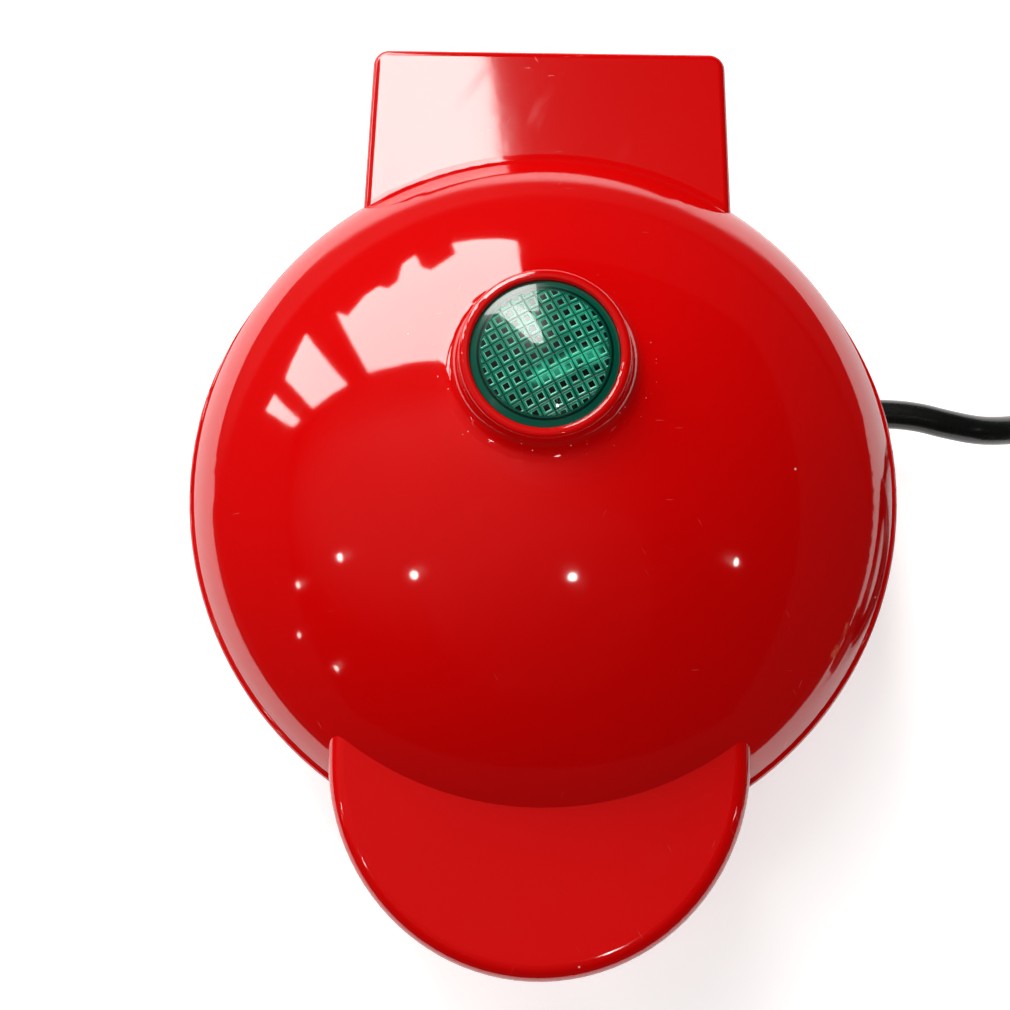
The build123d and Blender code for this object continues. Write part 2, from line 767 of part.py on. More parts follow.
def thermostat():
    """Snap-disc thermostat, its metal cap against a plate back at z = 0."""
    cap_low = -seat_gap - thermostat_cap_height
    body_low = cap_low - thermostat_body_height
    body = upright(thermostat_cap_radius, cap_low, -seat_gap)
    body += upright(thermostat_body_radius, body_low, cap_low)
    half = blade_width / 2
    for side in (-1, 1):
        low_x = side * blade_x - blade_thickness / 2
        body += block(low_x, low_x + blade_thickness, -half, half, body_low - blade_length, body_low + 1)
    return body


def thermal_fuse():
    """Axial cut-out in its sleeve, under the lower reflector."""
    z = lower_plate_bottom_z - reflector_drop - sheet_thickness - seat_gap - fuse_radius
    half = fuse_length / 2
    reach = half + fuse_lead_length
    fuse = cross_rod(fuse_radius, -half, half, fuse_y, z)
    fuse += cross_rod(fuse_lead_radius, -reach, reach, fuse_y, z)
    return Pos(fuse_x, 0, 0) * fuse


def terminal_rows():
    """The Y places of the three ways of the terminal block."""
    return [terminal_y + terminal_pitch * row for row in (-1, 0, 1)]


def terminal_block():
    """Three-way terminal block standing on the bottom cover."""
    z_low = base_floor_z + cover_thickness
    half_length = terminal_block_length / 2
    half_width = terminal_block_width / 2
    right = terminal_x + half_length
    top = z_low + terminal_block_height
    body = block(
        terminal_x - half_length, right, terminal_y - half_width, terminal_y + half_width, z_low, top
    )
    for y in terminal_rows():
        body -= Pos(terminal_x, y, 0) * upright(terminal_bore_radius, top - terminal_bore_depth, top + 1)
        body -= cross_rod(core_radius + core_fit, right - core_grip, right + 1, y, z_low + core_height)
    return body


def terminal_screws():
    """Three small screws in the terminal block."""
    z = base_floor_z + cover_thickness + terminal_block_height - terminal_bore_depth
    screw = upright(terminal_bore_radius - core_fit, z, z + terminal_screw_length)
    return [Pos(terminal_x, y, 0) * screw for y in terminal_rows()]


def cord_cores():
    """Three insulated cores from the cord's jacket to the terminal block."""
    z_block = base_floor_z + cover_thickness + core_height
    block_end = terminal_x + terminal_block_length / 2
    cores = []
    for row, y_end in zip((-1, 0, 1), terminal_rows()):
        y_start = cord_exit_y + row * core_spread
        points = [
            (jacket_end_x, y_start, cord_exit_z),
            (jacket_end_x - core_start, y_start, cord_exit_z),
            (block_end + core_lead, y_end, z_block),
            (block_end - core_grip, y_end, z_block),
        ]
        cores.append(routed_tube(points, core_radius))
    return cores


def inner_cord():
    """The cord's jacket inside the strain relief and the clamp."""
    return cross_rod(cord_radius, jacket_end_x, cord_exit_x, cord_exit_y, cord_exit_z)


def cord_bush():
    """Tapered strain relief in the side of the base."""
    wall_x = bush_inner_x + bush_flange_thickness
    taper_x = cord_exit_x - bush_taper_length
    sleeve = cross_rod(bush_flange_radius, bush_inner_x, wall_x, 0, 0)
    sleeve += cross_rod(bush_radius, bush_inner_x, taper_x, 0, 0)
    taper = Cone(bush_radius, bush_tip_radius, cord_exit_x - taper_x)
    sleeve += Pos((taper_x + cord_exit_x) / 2, 0, 0) * Rot(0, 90, 0) * taper
    sleeve -= cross_rod(cord_radius + cord_fit, bush_inner_x - 1, cord_exit_x + 1, 0, 0)
    return Pos(0, cord_exit_y, cord_exit_z) * sleeve


def cord_clamp():
    """Bar that holds the cord down on its saddle."""
    half_length = clamp_span + clamp_post_radius
    bar = block(-clamp_width / 2, clamp_width / 2, -half_length, half_length, 0, clamp_thickness)
    bar -= cross_rod(cord_radius + cord_fit, -clamp_width, clamp_width, 0, clamp_bite - cord_radius)
    for side in (-1, 1):
        hole = upright(clamp_screw_radius + screw_fit, -1, clamp_thickness + 1)
        bar -= Pos(0, side * clamp_span, 0) * hole
    return Pos(clamp_x, cord_exit_y, clamp_z) * bar


def clamp_screws():
    """Two screws of the cord clamp."""
    top = clamp_z + clamp_thickness
    return [
        Pos(clamp_x, cord_exit_y + side * clamp_span, top) * pan_screw(clamp_screw_length, clamp_screw_radius)
        for side in (-1, 1)
    ]


def hinge_pins():
    """Two pins fixed in the base's arms, on which the lid's hood turns."""
    left = cross_rod(pin_radius, -pin_inner_x - pin_length, -pin_inner_x, hinge_y, hinge_z)
    right = cross_rod(pin_radius, pin_inner_x, pin_inner_x + pin_length, hinge_y, hinge_z)
    return [left, right]


def hinge_wire_sleeve():
    """Flexible sleeve on the hinge's own axis, which only twists."""
    return cross_rod(sleeve_radius, -sleeve_half_length, sleeve_half_length, hinge_y, hinge_z)


def lower_wiring():
    """Sleeved bundle from the terminal block out to the hinge."""
    block_rear = terminal_y + terminal_block_width / 2
    block_z = base_floor_z + cover_thickness + core_height
    points = [
        (wire_x, block_rear + core_fit, block_z + 0.4),
        (wire_x - 0.6, block_rear + 12.5, block_z + 1.0),
        (wire_x + 0.5, flange_radius - 14.2, block_z + 4.3),
        (wire_x, flange_radius - 5.2, hinge_z - 4.5),
        (wire_x, flange_radius - 0.7, hinge_z),
        (wire_x, hinge_y, hinge_z),
        (sleeve_half_length, hinge_y, hinge_z),
    ]
    return routed_tube(points, bundle_radius)


def upper_wiring():
    """Sleeved bundle from the hinge into the lid, up to the lamp's holder."""
    gap = bundle_radius + bundle_gap
    points = [
        (-sleeve_half_length, hinge_y, hinge_z),
        (-wire_x, hinge_y, hinge_z),
        (-wire_x, hinge_y - 4.5, rim_z - 2.4),
        (-wire_x - 0.2, flange_radius - 2.2, rim_z - 2.2),
        (-wire_x, flange_radius - 4.6, lip_z + 3.9),
        under_dome(-wire_x + 0.5, plate_radius - 1.2, gap),
        under_dome(-wire_x + 1.7, plate_radius - 5.0, gap),
        under_dome(-wire_x + 4.5, plate_radius - 10.0, gap),
        under_dome(-wire_x + 8.5, lens_y + 16.2, gap),
        under_dome(-wire_x + 10.6, lens_y + 8.2, gap),
        under_dome(-wire_x + 11.0, lens_y + 2.7, gap),
    ]
    return routed_tube(points, bundle_radius)


def cord_route():
    """Points of the free cord, from the strain relief to the coil."""
    return [
        (cord_exit_x, cord_exit_y, cord_exit_z),
        (70.3, cord_exit_y, cord_exit_z),
        (78.8, 18.1, 13.2),
        (86.8, 17.5, 10.4),
        (100.1, 20.6, cord_floor_z),
        (114.7, 20.8, cord_floor_z),
        (123.0, 19.3, cord_floor_z),
        (coil_x - coil_seam_run, coil_entry_y, cord_floor_z),
    ]


def coil_point(quarter):
    """Point and tangent of the coil's centreline after some of its parts."""
    turns = coil_turns * quarter / coil_quarters
    middle = coil_turns / 2
    climb = 2 * coil_turns / coil_quarters
    away = turns - middle
    radius = coil_outer_radius - coil_pitch * (middle - abs(away))
    angle = math.radians(90) - 2 * math.pi * turns
    slope = coil_pitch * (0 if quarter in (0, coil_quarters / 2, coil_quarters) else math.copysign(1, away))
    share = min(max(away / climb + 0.5, 0), 1)
    height = cord_floor_z + coil_pitch * (1 - math.cos(math.pi * share)) / 2
    rise = coil_pitch * math.pi * math.sin(math.pi * share) / 2 / climb
    centre = Vector(coil_x, coil_entry_y - coil_outer_radius, height)
    outward = Vector(math.cos(angle), math.sin(angle), 0)
    forward = Vector(math.sin(angle), -math.cos(angle), 0)
    tangent = outward * slope + forward * (2 * math.pi * radius) + Vector(0, 0, rise)
    return centre + outward * radius, tangent.normalized()


def biarc(start, start_way, end, end_way):
    """Two arcs that join two points and meet both tangents."""
    span = end - start
    ways = start_way + end_way
    fall = 2 * (1 - start_way.dot(end_way))
    reach = span.dot(ways)
    handle = (math.sqrt(reach**2 + fall * span.dot(span)) - reach) / fall
    joint = (start + start_way * handle + end - end_way * handle) * 0.5
    first = TangentArc(start, joint, tangent=start_way)
    return [first, TangentArc(joint, end, tangent=first % 1)]


def coil_path():
    """Centreline of the coil: inwards on the floor, up a layer and out again."""
    spots = [coil_point(quarter) for quarter in range(coil_quarters + 1)]
    first, first_way = spots[0]
    last, last_way = spots[-1]
    edges = [Line(first - first_way * coil_seam_run, first)]
    for (start, start_way), (end, end_way) in zip(spots, spots[1:]):
        edges += biarc(start, start_way, end, end_way)
    edges.append(Line(last, last + last_way * coil_seam_run))
    return Wire([edge for curve in edges for edge in curve.edges()])


def least_gap(path, diameter, samples=900):
    """Least clear gap between parts of a path that lie apart along it."""
    points = [path @ (index / samples) for index in range(samples + 1)]
    skip = int(samples * 3 * diameter / path.length)
    near = min(
        (points[i] - points[j]).length
        for i in range(0, samples + 1, 3)
        for j in range(i + skip, samples + 1)
    )
    return near - diameter


def plug_frame():
    """Place of the plug: where the coil ends, looking along its way out."""
    last, last_way = coil_point(coil_quarters)
    origin = last + last_way * coil_seam_run
    return Location(Plane(origin=origin, x_dir=last_way, z_dir=(0, 0, 1)))


def plug_body():
    """Moulded plug with a side entry, its back on the table."""
    half_height = coil_point(coil_quarters)[0].Z
    middle = plug_relief_length + plug_length / 2
    outline = Pos(middle, 0) * RectangleRounded(plug_length, plug_width, plug_corner_radius)
    body = Pos(0, 0, -half_height + cord_table_gap) * extrude(outline, 2 * half_height - cord_table_gap)
    body = fillet(body.edges().filter_by(lambda e: abs(e.center().Z) > half_height - 1), plug_edge_radius)
    relief = Pos(plug_relief_length / 2, 0, 0) * Rot(0, 90, 0)
    body += relief * Cone(cord_radius + plug_tip_wall, plug_relief_radius, plug_relief_length)
    for x, y, turn, _ in plug_pin_places():
        body -= Pos(x, y, half_height) * Rot(0, 0, turn) * Box(pin_width, pin_thickness, 2 * pin_depth)
    return plug_frame() * body


def plug_pin_places():
    """Place, turn and height of each blade on the plug's face."""
    middle = plug_relief_length + plug_length / 2
    live_x = live_pin_offset * math.cos(math.radians(live_pin_angle))
    live_y = live_pin_offset * math.sin(math.radians(live_pin_angle))
    return [
        (middle - live_x, live_y, -live_pin_angle, live_pin_height),
        (middle - live_x, -live_y, live_pin_angle, live_pin_height),
        (middle + earth_pin_offset, 0, 0, earth_pin_height),
    ]


def plug_pins():
    """Three flat blades that stand up from the plug's face."""
    face = coil_point(coil_quarters)[0].Z
    blades = []
    for x, y, turn, height in plug_pin_places():
        blade = Pos(0, 0, (height - pin_depth) / 2) * Box(pin_width, pin_thickness, height + pin_depth)
        blades.append(plug_frame() * Pos(x, y, face) * Rot(0, 0, turn) * blade)
    return blades


def under_lower_plate(piece):
    """Place a piece that is drawn under a plate back at z = 0."""
    return Pos(0, 0, lower_plate_bottom_z) * piece


def over_upper_plate(piece):
    """Place a piece drawn under a plate back so that it lies over the upper one."""
    return Pos(0, 0, upper_plate_top_z) * mirror(piece, Plane.XY)


def export(name, *pieces):
    """Move a node's solids to the part's own frame and write them."""
    solids = [solid for piece in pieces for solid in piece.solids()]
    moved = [Pos(0, axis_shift, 0) * solid for solid in solids]
    export_step(moved[0] if len(moved) == 1 else Compound(children=moved), f"parts/{name}.step")
    return moved


def build():
    """Make every node and write it to its own file."""
    os.makedirs("parts", exist_ok=True)
    export("upper_housing", upper_housing())
    export("lower_housing", lower_housing())
    export("base_cover", base_cover())
    export("cover_screws", *cover_screws())
    export("rubber_feet", *rubber_feet())
    export("lower_plate", Pos(0, 0, rim_z) * plate())
    export("upper_plate", Pos(0, 0, lip_z) * mirror(plate(), Plane.XY))
    export("lower_plate_screws", *[Pos(0, 0, rim_z) * screw for screw in plate_screws()])
    export("upper_plate_screws", *[Pos(0, 0, lip_z) * mirror(screw, Plane.XY) for screw in plate_screws()])
    export("lower_element", under_lower_plate(heating_element()))
    export("upper_element", over_upper_plate(heating_element()))
    cap_hole = upright(thermostat_cap_radius + thermostat_cap_gap, -plate_height, 1)
    export("lower_reflector", under_lower_plate(reflector() - cap_hole))
    export("upper_reflector", over_upper_plate(reflector()))
    export("lower_reflector_screws", *[under_lower_plate(screw) for screw in reflector_screws()])
    export("upper_reflector_screws", *[over_upper_plate(screw) for screw in reflector_screws()])
    export("thermostat", under_lower_plate(thermostat()))
    export("thermal_fuse", thermal_fuse())
    export("indicator_lens", indicator_lens())
    export("lamp_holder", lamp_holder())
    export("indicator_lamp", indicator_lamp())
    export("hinge_pins", *hinge_pins())
    export("hinge_wire_sleeve", hinge_wire_sleeve())
    export("lower_wiring", lower_wiring())
    export("upper_wiring", upper_wiring())
    export("terminal_block", terminal_block())
    export("terminal_screws", *terminal_screws())
    export("cord_cores", *cord_cores())
    export("inner_cord", inner_cord())
    export("cord_bush", cord_bush())
    export("cord_clamp", cord_clamp())
    export("clamp_screws", *clamp_screws())
    route = cord_route()
    free_path = FilletPolyline(*route, radius=bend_radii(route))
    free = tube(free_path, cord_radius)
    print("cord bend radii", [round(radius, 1) for radius in bend_radii(route)])
    print("free cord length", round(free_path.length, 1))
    print("free cord volume share", round(free.volume / (math.pi * cord_radius**2 * free_path.length), 4))
    export("mains_cord", free)
    coil = coil_path()
    coil_tube = tube(coil, cord_radius)
    print("coil length", round(coil.length, 1))
    print("coil least gap", round(least_gap(coil, 2 * cord_radius), 2))
    print("coil volume share", round(coil_tube.volume / (math.pi * cord_radius**2 * coil.length), 4))
    export("cord_coil", coil_tube)
    export("plug_body", plug_body())
    export("plug_pins", *plug_pins())


if __name__ == "__main__":
    build()
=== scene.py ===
import math

import bpy
from bpy.props import FloatProperty, FloatVectorProperty, IntProperty, PointerProperty
from mathutils import Matrix, Vector


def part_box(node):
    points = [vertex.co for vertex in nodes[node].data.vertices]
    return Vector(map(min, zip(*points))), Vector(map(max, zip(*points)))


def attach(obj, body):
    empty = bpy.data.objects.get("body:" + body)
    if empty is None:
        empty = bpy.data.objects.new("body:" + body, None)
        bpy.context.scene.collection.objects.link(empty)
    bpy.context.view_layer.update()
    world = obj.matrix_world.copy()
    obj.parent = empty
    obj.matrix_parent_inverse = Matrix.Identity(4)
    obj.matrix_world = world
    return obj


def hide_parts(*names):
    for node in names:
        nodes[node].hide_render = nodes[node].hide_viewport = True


bl_info = {
    "name": "Bubble Waffle Maker",
    "version": (1, 0),
    "blender": (4, 5, 0),
    "location": "3D View > Sidebar > Waffle Maker",
    "description": "Gives the packed waffle maker its finishes, its lead and its studio",
    "category": "Object",
}

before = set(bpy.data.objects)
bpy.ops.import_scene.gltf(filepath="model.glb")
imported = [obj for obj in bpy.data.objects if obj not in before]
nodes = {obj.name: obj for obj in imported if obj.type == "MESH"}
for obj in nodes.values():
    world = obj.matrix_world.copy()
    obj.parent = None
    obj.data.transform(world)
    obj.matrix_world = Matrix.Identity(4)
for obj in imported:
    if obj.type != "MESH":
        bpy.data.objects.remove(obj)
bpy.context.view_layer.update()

MM = 0.001
SQUARE = ((-1, -1), (1, -1), (1, 1), (-1, 1))
BLACK = (0.0, 0.0, 0.0)
WHITE = (1.0, 1.0, 1.0)


class HousingSettings(bpy.types.PropertyGroup):
    """Finish of the red mouldings."""

    colour: FloatVectorProperty(
        name="Colour", description="Colour of the moulded plastic", subtype="COLOR",
        size=3, min=0.0, max=1.0, default=(0.62, 0.0012, 0.0014))
    roughness: FloatProperty(
        name="Roughness", description="Roughness of the polished surface", subtype="FACTOR",
        min=0.0, max=1.0, default=0.045)
    ripple_height: FloatProperty(
        name="Ripple height", description="Height of the faint moulding ripple", unit="LENGTH",
        min=0.0, default=0.000009)
    ripple_size: FloatProperty(
        name="Ripple size", description="Distance between the ripples", unit="LENGTH",
        min=0.0005, default=0.007)


class LensSettings(bpy.types.PropertyGroup):
    """The green indicator lens."""

    colour: FloatVectorProperty(
        name="Colour", description="Colour of the clear green plastic", subtype="COLOR",
        size=3, min=0.0, max=1.0, default=(0.0, 0.18, 0.108))
    edge_colour: FloatVectorProperty(
        name="Edge colour", description="Colour of the light caught by the prism edges",
        subtype="COLOR", size=3, min=0.0, max=1.0, default=(0.25, 0.84, 0.58))
    prism_pitch: FloatProperty(
        name="Prism pitch", description="Distance between the square prisms", unit="LENGTH",
        min=0.0005, default=0.0021)
    prism_turn: FloatProperty(
        name="Prism turn", description="Angle of the rows of prisms", unit="ROTATION",
        default=math.radians(29.0))
    plain_rim: FloatProperty(
        name="Plain rim", description="Width of the plain ring round the prisms", unit="LENGTH",
        min=0.0, default=0.0017)


class LeadSettings(bpy.types.PropertyGroup):
    """The mains lead, from its strain relief to the put-away coil."""

    radius: FloatProperty(
        name="Radius", description="Half the lead's thickness", unit="LENGTH",
        min=0.001, default=0.0028)
    coil_radius: FloatProperty(
        name="Coil radius", description="Radius of the coil's outer turn", unit="LENGTH",
        min=0.02, default=0.0355)
    coil_pitch: FloatProperty(
        name="Coil pitch", description="Distance from one turn to the next", unit="LENGTH",
        min=0.002, default=0.0061)
    coil_turns: FloatProperty(
        name="Coil turns", description="Turns of the coil, in and out", min=1.0, default=4.25)
    points_per_turn: IntProperty(
        name="Points per turn", description="Control points of each turn", min=12, default=24)


class StudioSettings(bpy.types.PropertyGroup):
    """Camera and light."""

    camera_distance: FloatProperty(
        name="Camera distance", description="From the camera to the middle of the body",
        unit="LENGTH", min=0.1, default=0.350)
    camera_tilt: FloatProperty(
        name="Camera tilt", description="Angle of the camera off straight down", unit="ROTATION",
        default=math.radians(9.59))
    camera_roll: FloatProperty(
        name="Camera roll", description="Turn of the camera about its own axis", unit="ROTATION",
        default=math.radians(0.8))
    focal_length: FloatProperty(
        name="Focal length", description="Focal length of the camera", subtype="DISTANCE_CAMERA",
        unit="CAMERA", min=1.0, default=68.85)
    camera_shift: FloatProperty(
        name="Camera shift", description="Sideways shift of the lens, in widths of the picture",
        default=-0.03765)
    window_strength: FloatProperty(
        name="Window strength", description="Brightness of the large soft window", min=0.0,
        default=7.7)
    ceiling_strength: FloatProperty(
        name="Ceiling strength", description="Brightness of the dim ceiling", min=0.0, default=0.09)
    spot_strength: FloatProperty(
        name="Spot strength", description="Brightness of the small ceiling spots", min=0.0,
        default=45.0)
    fill_power: FloatProperty(
        name="Fill power", description="Power of the large soft lamp overhead", unit="POWER",
        min=0.0, default=26.0)
    room_strength: FloatProperty(
        name="Room strength", description="Brightness of the room round the object", min=0.0,
        default=0.02)


class WaffleMakerSettings(bpy.types.PropertyGroup):
    """Everything that a user would change."""

    housing: PointerProperty(type=HousingSettings)
    lens: PointerProperty(type=LensSettings)
    lead: PointerProperty(type=LeadSettings)
    studio: PointerProperty(type=StudioSettings)


def feed(tree, slot, value):
    """A socket takes a link or a value."""
    if isinstance(value, Value):
        value = value.socket
    if isinstance(value, bpy.types.NodeSocket):
        tree.links.new(value, slot)
    else:
        slot.default_value = value


def add_node(tree, kind, settings=None, inputs=None):
    """A node of a type, with its settings first and then the values or links of its sockets."""
    node = tree.nodes.new(kind)
    for name, value in (settings or {}).items():
        setattr(node, name, value)
    for name, value in (inputs or {}).items():
        feed(tree, node.inputs[name], value)
    return node


def light_path(tree, *names):
    """Values of a Light Path node: 1 for rays of that kind and 0 for others."""
    path = add_node(tree, "ShaderNodeLightPath")
    return [Value(tree, path.outputs[name]) for name in names]


class Value:
    """A shader socket that can stand in a Python expression."""

    def __init__(self, tree, socket):
        self.tree = tree
        self.socket = socket

    def math(self, operation, *others):
        node = add_node(self.tree, "ShaderNodeMath", {"operation": operation})
        for slot, item in zip(node.inputs, (self, *others)):
            feed(self.tree, slot, item)
        return Value(self.tree, node.outputs[0])

    def __add__(self, other):
        return self.math("ADD", other)

    __radd__ = __add__

    def __sub__(self, other):
        return self.math("SUBTRACT", other)

    def __rsub__(self, other):
        return self.math("MULTIPLY", -1.0).math("ADD", other)

    def __mul__(self, other):
        return self.math("MULTIPLY", other)

    __rmul__ = __mul__

    def __truediv__(self, other):
        return self.math("DIVIDE", other)

    def __rtruediv__(self, other):
        return self.math("POWER", -1.0).math("MULTIPLY", other)

    def __abs__(self):
        return self.math("ABSOLUTE")

    def fraction(self):
        return self.math("FRACT")

    def sine(self):
        return self.math("SINE")

    def root(self):
        return self.math("SQRT")

    def at_least(self, other):
        return self.math("MAXIMUM", other)

    def at_most(self, other):
        return self.math("MINIMUM", other)

    def step(self, low, high):
        """0 below low, 1 above high and smooth between; the other way round if low is above high."""
        share = ((self - low) / (high - low)).at_least(0.0).at_most(1.0)
        return share * share * (3.0 - 2.0 * share)


class Finish:
    """A new material: a principled shader and the nodes that feed it."""

    def __init__(self, name, **sockets):
        self.material = bpy.data.materials.new(name)
        self.material.use_nodes = True
        self.tree = self.material.node_tree
        self.tree.nodes.clear()
        self.shader = self.node("ShaderNodeBsdfPrincipled")
        output = self.node("ShaderNodeOutputMaterial")
        self.tree.links.new(self.shader.outputs[0], output.inputs["Surface"])
        for name, value in sockets.items():
            self.set(name.replace("_", " "), value)
        place = self.node("ShaderNodeTexCoord")
        self.place = place.outputs["Object"]
        split = self.node("ShaderNodeSeparateXYZ", inputs={"Vector": self.place})
        self.x, self.y, self.z = (Value(self.tree, socket) for socket in split.outputs)

    def node(self, kind, settings=None, inputs=None):
        """A node of this finish."""
        return add_node(self.tree, kind, settings, inputs)

    def set(self, name, value):
        """A socket of the shader takes a link or a value."""
        if isinstance(value, tuple) and len(value) == 3:
            value = (*value, 1.0)
        feed(self.tree, self.shader.inputs[name], value)

    def scaled(self, size, turn=0.0):
        """Places turned about Z and counted in steps of a size, the same or one for each axis."""
        sizes = size if isinstance(size, tuple) else (size, size, size)
        turned = self.node("ShaderNodeVectorRotate", {"rotation_type": "Z_AXIS"}, {
            "Vector": self.place, "Angle": turn})
        node = self.node("ShaderNodeVectorMath", {"operation": "MULTIPLY"}, {
            0: turned.outputs[0], 1: [1.0 / step for step in sizes]})
        return node.outputs[0]

    def noise(self, size, detail=2.0, roughness=0.5, turn=0.0):
        """Soft random value from 0 to 1 with features of a size in metres."""
        node = self.node("ShaderNodeTexNoise", {"noise_dimensions": "3D"}, {
            "Vector": self.scaled(size, turn), "Scale": 1.0, "Detail": detail, "Roughness": roughness})
        return Value(self.tree, node.outputs[0])

    def cells(self, size, turn=0.0):
        """Distance to the nearest of scattered points a size apart, and a random value of each."""
        node = self.node("ShaderNodeTexVoronoi", {"feature": "F1"}, {
            "Vector": self.scaled(size, turn), "Scale": 1.0, "Randomness": 1.0})
        chance = self.node("ShaderNodeSeparateColor", inputs={"Color": node.outputs["Color"]})
        return Value(self.tree, node.outputs["Distance"]), Value(self.tree, chance.outputs[0])

    def blend(self, share, low, high):
        """Colour that runs from one to another as a share goes from 0 to 1."""
        node = self.node("ShaderNodeMix", {"data_type": "RGBA"})
        feed(self.tree, node.inputs[0], share)
        for slot, colour in ((6, low), (7, high)):
            feed(self.tree, node.inputs[slot], (*colour, 1.0) if isinstance(colour, tuple) else colour)
        return node.outputs[2]

    def bump(self, height, distance, strength=1.0):
        """Relief of a height from 0 to 1, as deep as a distance in metres."""
        node = self.node("ShaderNodeBump", inputs={
            "Height": height, "Distance": distance, "Strength": strength})
        self.set("Normal", node.outputs[0])

    def give(self, *objects):
        """This finish on objects."""
        for item in objects:
            item.data.materials.clear()
            item.data.materials.append(self.material)
        return self


def hairlines(finish, length, width, share):
    """Sparse short scratches in a few directions: 1 on a scratch and 0 off it."""
    marks = 0.0
    patches = finish.noise(2.5 * length, 1.0).step(0.50, 0.60)
    for turn in (0.4, 1.5, 2.6):
        distance, chance = finish.cells((5.0 * width, length, 2.0 * length), turn)
        marks = distance.step(0.10, 0.05) * chance.step(1.0 - share, 1.0 - 0.6 * share) + marks
    return patches * marks.at_most(1.0)


def dust(finish, size, share):
    """Small specks of dust: 1 on a speck and 0 off it."""
    distance, chance = finish.cells(size)
    return distance.step(0.16, 0.06) * chance.step(1.0 - share, 1.0 - share * 0.6)


def red_plastic(settings, collar, collar_radius):
    """Polished red moulding with a faint ripple, fine scratches, wipes and a little dust."""
    finish = Finish("red_plastic", IOR=1.75)
    colour = tuple(settings.colour)
    deep = tuple(0.93 * channel for channel in colour)
    across = finish.x - collar.x
    along = finish.y - collar.y
    reach = (across * across + along * along).root()
    foot_edge = 0.0005
    dust_reach = 0.006
    foot = reach.step(collar_radius - foot_edge, collar_radius + foot_edge)
    foot *= reach.step(collar_radius + dust_reach, collar_radius + 0.001)
    scratches = hairlines(finish, 0.010, 0.00009, 0.14)
    specks = (dust(finish, 0.0009, 0.14) * foot).at_least(dust(finish, 0.0018, 0.006))
    wipes = finish.noise((0.004, 0.018, 0.02), 3.0, turn=0.5).step(0.60, 0.74)
    plain = finish.blend(finish.noise(0.03, 2.0), deep, colour)
    finish.set("Base Color", finish.blend(0.75 * specks + 0.10 * scratches, plain, (0.86, 0.74, 0.70)))
    finish.set("Roughness", settings.roughness + 0.015 * finish.noise(0.012, 3.0) + 0.035 * wipes
               + 0.20 * scratches + 0.4 * specks)
    ripple = finish.noise(settings.ripple_size, 2.0, 0.45)
    fine_ripple = finish.noise(0.2 * settings.ripple_size, 2.0, 0.5)
    finish.bump(ripple + 0.13 * fine_ripple + 0.15 * scratches + 0.8 * specks, settings.ripple_height)
    return finish


def lens_plastic(settings, centre, radius):
    """Clear green plastic over square prisms, inside a plain ring, with painted highlights on the prism edges
    and a painted streak of light across it.
    """
    finish = Finish("lens_plastic", Coat_Weight=1.0, Coat_Roughness=0.02, IOR=1.49)
    across = finish.x - centre.x
    along = finish.y - centre.y
    turn = settings.prism_turn
    row = (across * math.cos(turn) + along * math.sin(turn)) / settings.prism_pitch
    column = (along * math.cos(turn) - across * math.sin(turn)) / settings.prism_pitch
    from_middle = abs((row + 40.5).fraction() - 0.5).at_least(abs((column + 40.5).fraction() - 0.5))
    reach = (across * across + along * along).root()
    field_edge = radius - settings.plain_rim
    field = reach.step(field_edge, field_edge - 0.0003)
    # Painted light: a bright streak of caught light across the lens, painted into its colour as glow; it also
    # lightens the dark pits under it.
    glow_lean = math.radians(22.0)
    glow_offset = 0.0033
    glow_half_width = 0.0024
    glow_along = across * math.cos(glow_lean) + along * math.sin(glow_lean)
    glow_across = along * math.cos(glow_lean) - across * math.sin(glow_lean)
    glow = abs(glow_across + glow_offset).step(glow_half_width, 0.0007)
    glow *= glow_along.step(-0.0052, -0.0030) * glow_along.step(0.0100, 0.0080)
    glow *= finish.noise(0.0028, 2.0).step(0.25, 0.55)
    haze = finish.noise((0.008, 0.005, 0.02), 1.0).step(0.45, 0.75)
    green = tuple(settings.colour)
    dim_green = tuple(0.42 * channel for channel in green)
    lit_green = (0.03, 0.56, 0.33)
    pit = from_middle.step(0.255, 0.225)
    # Painted highlight: a thin bright line of caught light round each pit, in the edge colour.
    prism_edge_highlight = from_middle.step(0.225, 0.255) * from_middle.step(0.325, 0.290)
    groove = from_middle.step(0.445, 0.475)
    body = finish.blend((0.35 * haze + glow).at_most(1.0), green, lit_green)
    with_grooves = finish.blend(0.85 * groove, body, (0.0, 0.020, 0.012))
    with_pits = finish.blend(pit * (1.0 - 0.55 * glow), with_grooves, (0.002, 0.007, 0.006))
    prism_edge_highlight_share = 0.35 + 0.65 * finish.noise(0.0035, 1.0).step(0.35, 0.65)
    with_edge_highlights = finish.blend(prism_edge_highlight * prism_edge_highlight_share, with_pits, tuple(settings.edge_colour))
    ring_line = reach.step(field_edge + 0.0001, field_edge + 0.0003)
    ring_line *= reach.step(field_edge + 0.0007, field_edge + 0.0005)
    ring_colour = finish.blend(ring_line, dim_green, (0.001, 0.012, 0.008))
    finish.set("Base Color", finish.blend(field, ring_colour, with_edge_highlights))
    finish.set("Roughness", 0.18 + 0.1 * finish.noise(0.003, 2.0))
    finish.bump(from_middle.step(0.22, 0.33) * from_middle.step(0.49, 0.42) * field, 0.00018)
    return finish


def coated_aluminium():
    """Cast cooking plate under a dark sprayed non-stick coat."""
    finish = Finish("coated_aluminium", Metallic=0.25, IOR=1.45)
    grain = finish.noise(0.0004, 3.0, 0.6)
    mottle = finish.noise(0.02, 3.0)
    finish.set("Base Color", finish.blend(mottle, (0.020, 0.020, 0.021), (0.036, 0.035, 0.035)))
    finish.set("Roughness", 0.34 + 0.14 * finish.noise(0.008, 3.0) + 0.05 * grain)
    finish.bump(grain, 0.00002)
    return finish


